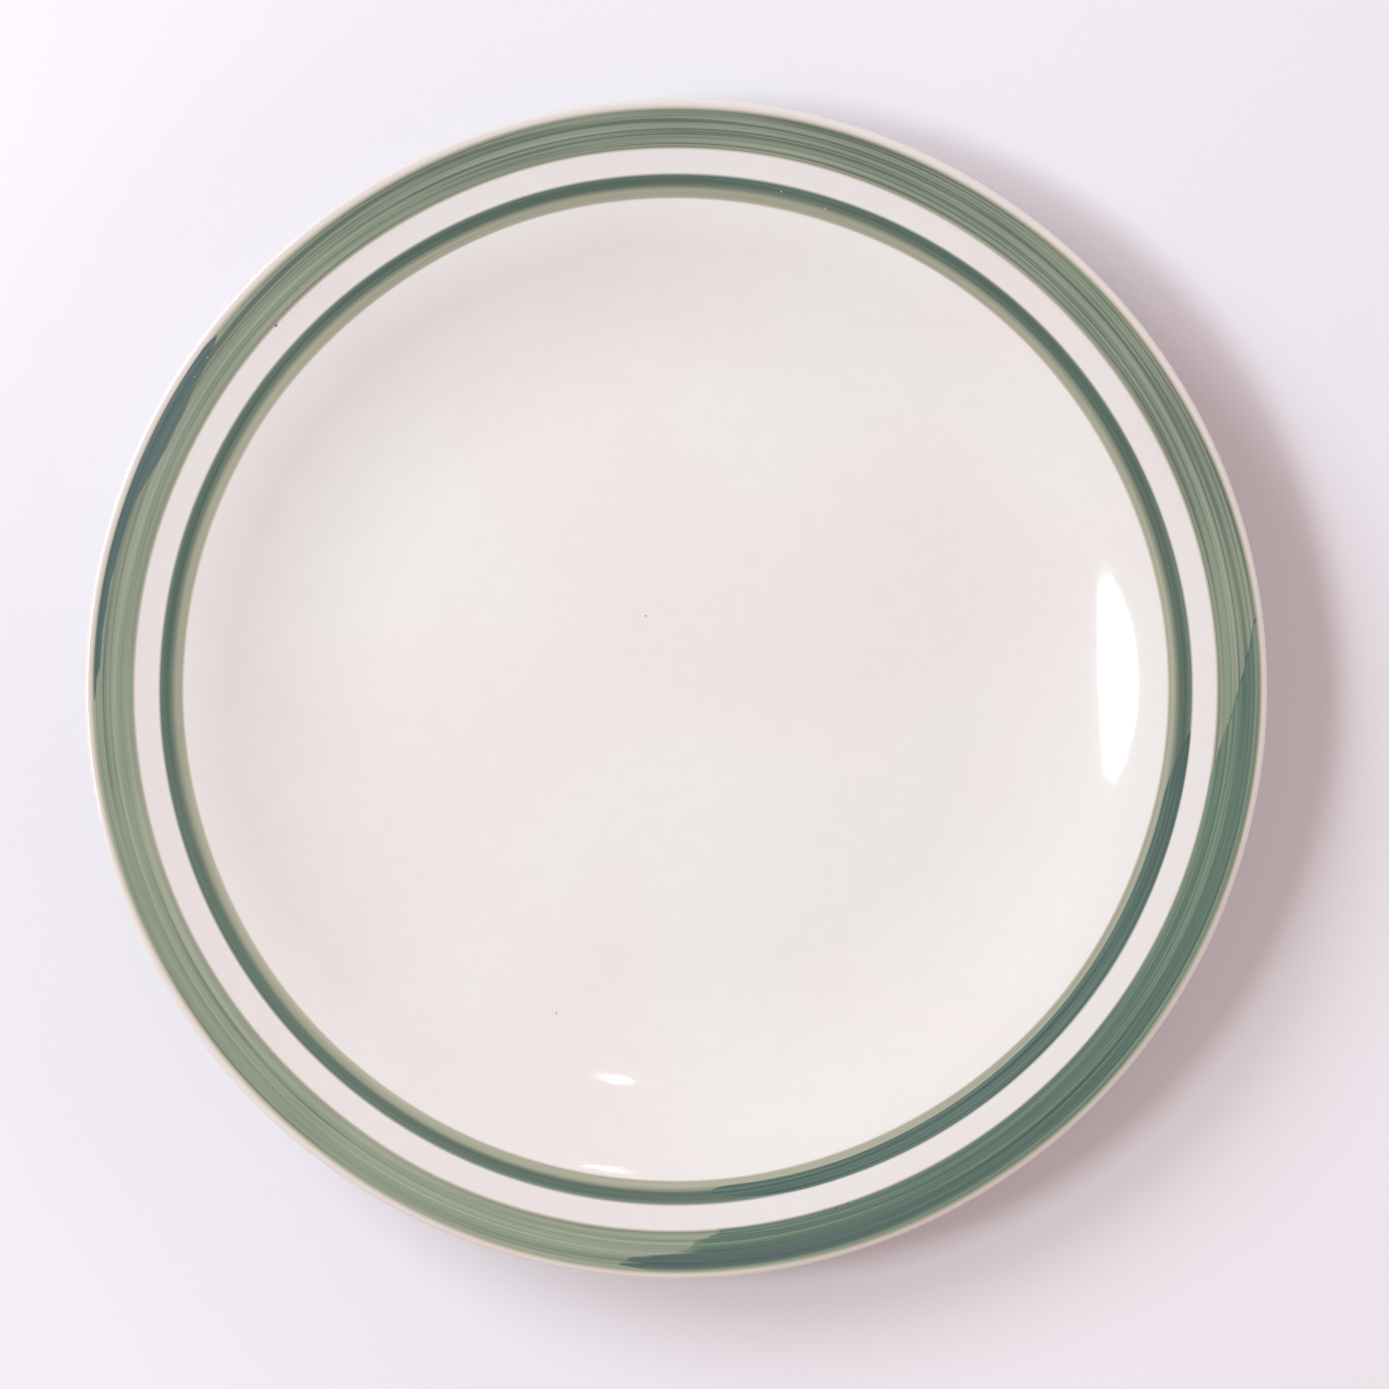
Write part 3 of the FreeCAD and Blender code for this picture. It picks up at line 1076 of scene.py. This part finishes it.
def make_floor():
    """The tabletop, wide enough to fill the picture from any side."""
    half = 3000.0
    corners = [(-half, -half, 0), (half, -half, 0), (half, half, 0), (-half, half, 0)]
    floor = mesh_object("tabletop", corners, [(0, 1, 2, 3)])
    floor.data.materials.append(floor_material())


MIRROR_R = 100.0  # near the wall's steepest circle, which mirrors the lights across from it
LIGHT_DISTANCE = 2.0  # in metres

# Azimuth, elevation, width and height in degrees, power in watts, colour, and whether the plate
# mirrors the light. The wall mirrors the softbox and the small lamp. The window is too low for
# it. What comes back from the room on the other side is weak, and has no bright shape.
LIGHTS = {
    "softbox": (181.5, 49.5, 14.9, 12.6, 14.2, (0.77, 0.925, 1.0), True),
    "window": (150.0, 33.5, 36.0, 26.0, 27.4, (0.755, 0.87, 1.0), True),
    "room_right": (5.0, 18.0, 40.0, 24.0, 5.6, (0.53, 0.80, 1.0), False),
    "room_back": (50.0, 17.0, 50.0, 24.0, 6.8, (0.91, 0.99, 1.0), False),
    "room_front": (320.0, 20.0, 50.0, 30.0, 7.8, (0.57, 0.73, 1.0), False),
    "small_lamp": (82.0, 64.0, 0.95, 1.2, 0.173, (1.0, 0.98, 0.96), True),
}
ROOM_GLOW, ROOM_GLOW_STRENGTH = (1.0, 0.636, 0.562, 1.0), 0.53
BACKDROP = (0.72, 0.69, 0.70, 1.0)


def light_panel(name, azimuth, elevation, wide, tall, power, colour, mirrored):
    """A soft light. Its place and its angular size are as seen from the far side of the wall,
    where the plate mirrors it."""
    light = bpy.data.lights.new(name, "AREA")
    light.shape = "ELLIPSE"
    light.size = 2 * LIGHT_DISTANCE * math.tan(math.radians(wide / 2))
    light.size_y = 2 * LIGHT_DISTANCE * math.tan(math.radians(tall / 2))
    light.energy = power
    light.color = colour
    ob = bpy.data.objects.new(name, light)
    turn, rise = math.radians(azimuth), math.radians(elevation)
    level = LIGHT_DISTANCE * math.cos(rise) - MIRROR_R * MM
    height = LIGHT_DISTANCE * math.sin(rise)
    ob.location = (level * math.cos(turn), level * math.sin(turn), height)
    ob.visible_glossy = mirrored
    bpy.context.scene.collection.objects.link(ob)
    towards = Vector((0, 0, 0)) - ob.location
    ob.rotation_mode = "QUATERNION"
    ob.rotation_quaternion = towards.to_track_quat("-Z", "Y")


def make_world():
    """The room's warm glow, with a pale backdrop where the camera sees past the tabletop."""
    world = bpy.data.worlds.new("room")
    bpy.context.scene.world = world
    world.use_nodes = True
    g = Graph(world.node_tree)
    glow = world.node_tree.nodes["Background"]
    glow.inputs["Color"].default_value = ROOM_GLOW
    glow.inputs["Strength"].default_value = ROOM_GLOW_STRENGTH
    backdrop = g.node("ShaderNodeBackground")
    backdrop.inputs["Color"].default_value = BACKDROP
    backdrop.inputs["Strength"].default_value = 1.0
    either = g.node("ShaderNodeMixShader")
    g.feed(either.inputs[0], g.node("ShaderNodeLightPath").outputs["Is Camera Ray"])
    g.feed(either.inputs[1], glow.outputs[0])
    g.feed(either.inputs[2], backdrop.outputs[0])
    g.feed(world.node_tree.nodes["World Output"].inputs["Surface"], either.outputs[0])


def make_lights():
    for name, values in LIGHTS.items():
        light_panel(name, *values)
    make_world()


def make_camera():
    """Looks straight down from a metre above the rim, a few millimetres off the axis."""
    above_rim, seen_width, sensor = 1000.0, 317.1, 36.0
    right, up = 4.36, -1.28
    camera = bpy.data.cameras.new("camera")
    camera.sensor_width = sensor
    camera.lens = sensor * above_rim / seen_width
    ob = bpy.data.objects.new("camera", camera)
    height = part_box("glaze_coat")[1].z / MM
    ob.location = (right * MM, up * MM, (height + above_rim) * MM)
    bpy.context.scene.collection.objects.link(ob)
    bpy.context.scene.camera = ob


def main():
    bpy.context.scene.view_settings.view_transform = "Standard"
    white = white_glaze_material()
    make_clay(clay_material())
    make_glaze(white)
    make_base_glaze(white)
    make_first_strokes(first_stroke_material())
    make_second_strokes()
    make_floor()
    make_lights()
    make_camera()


main()
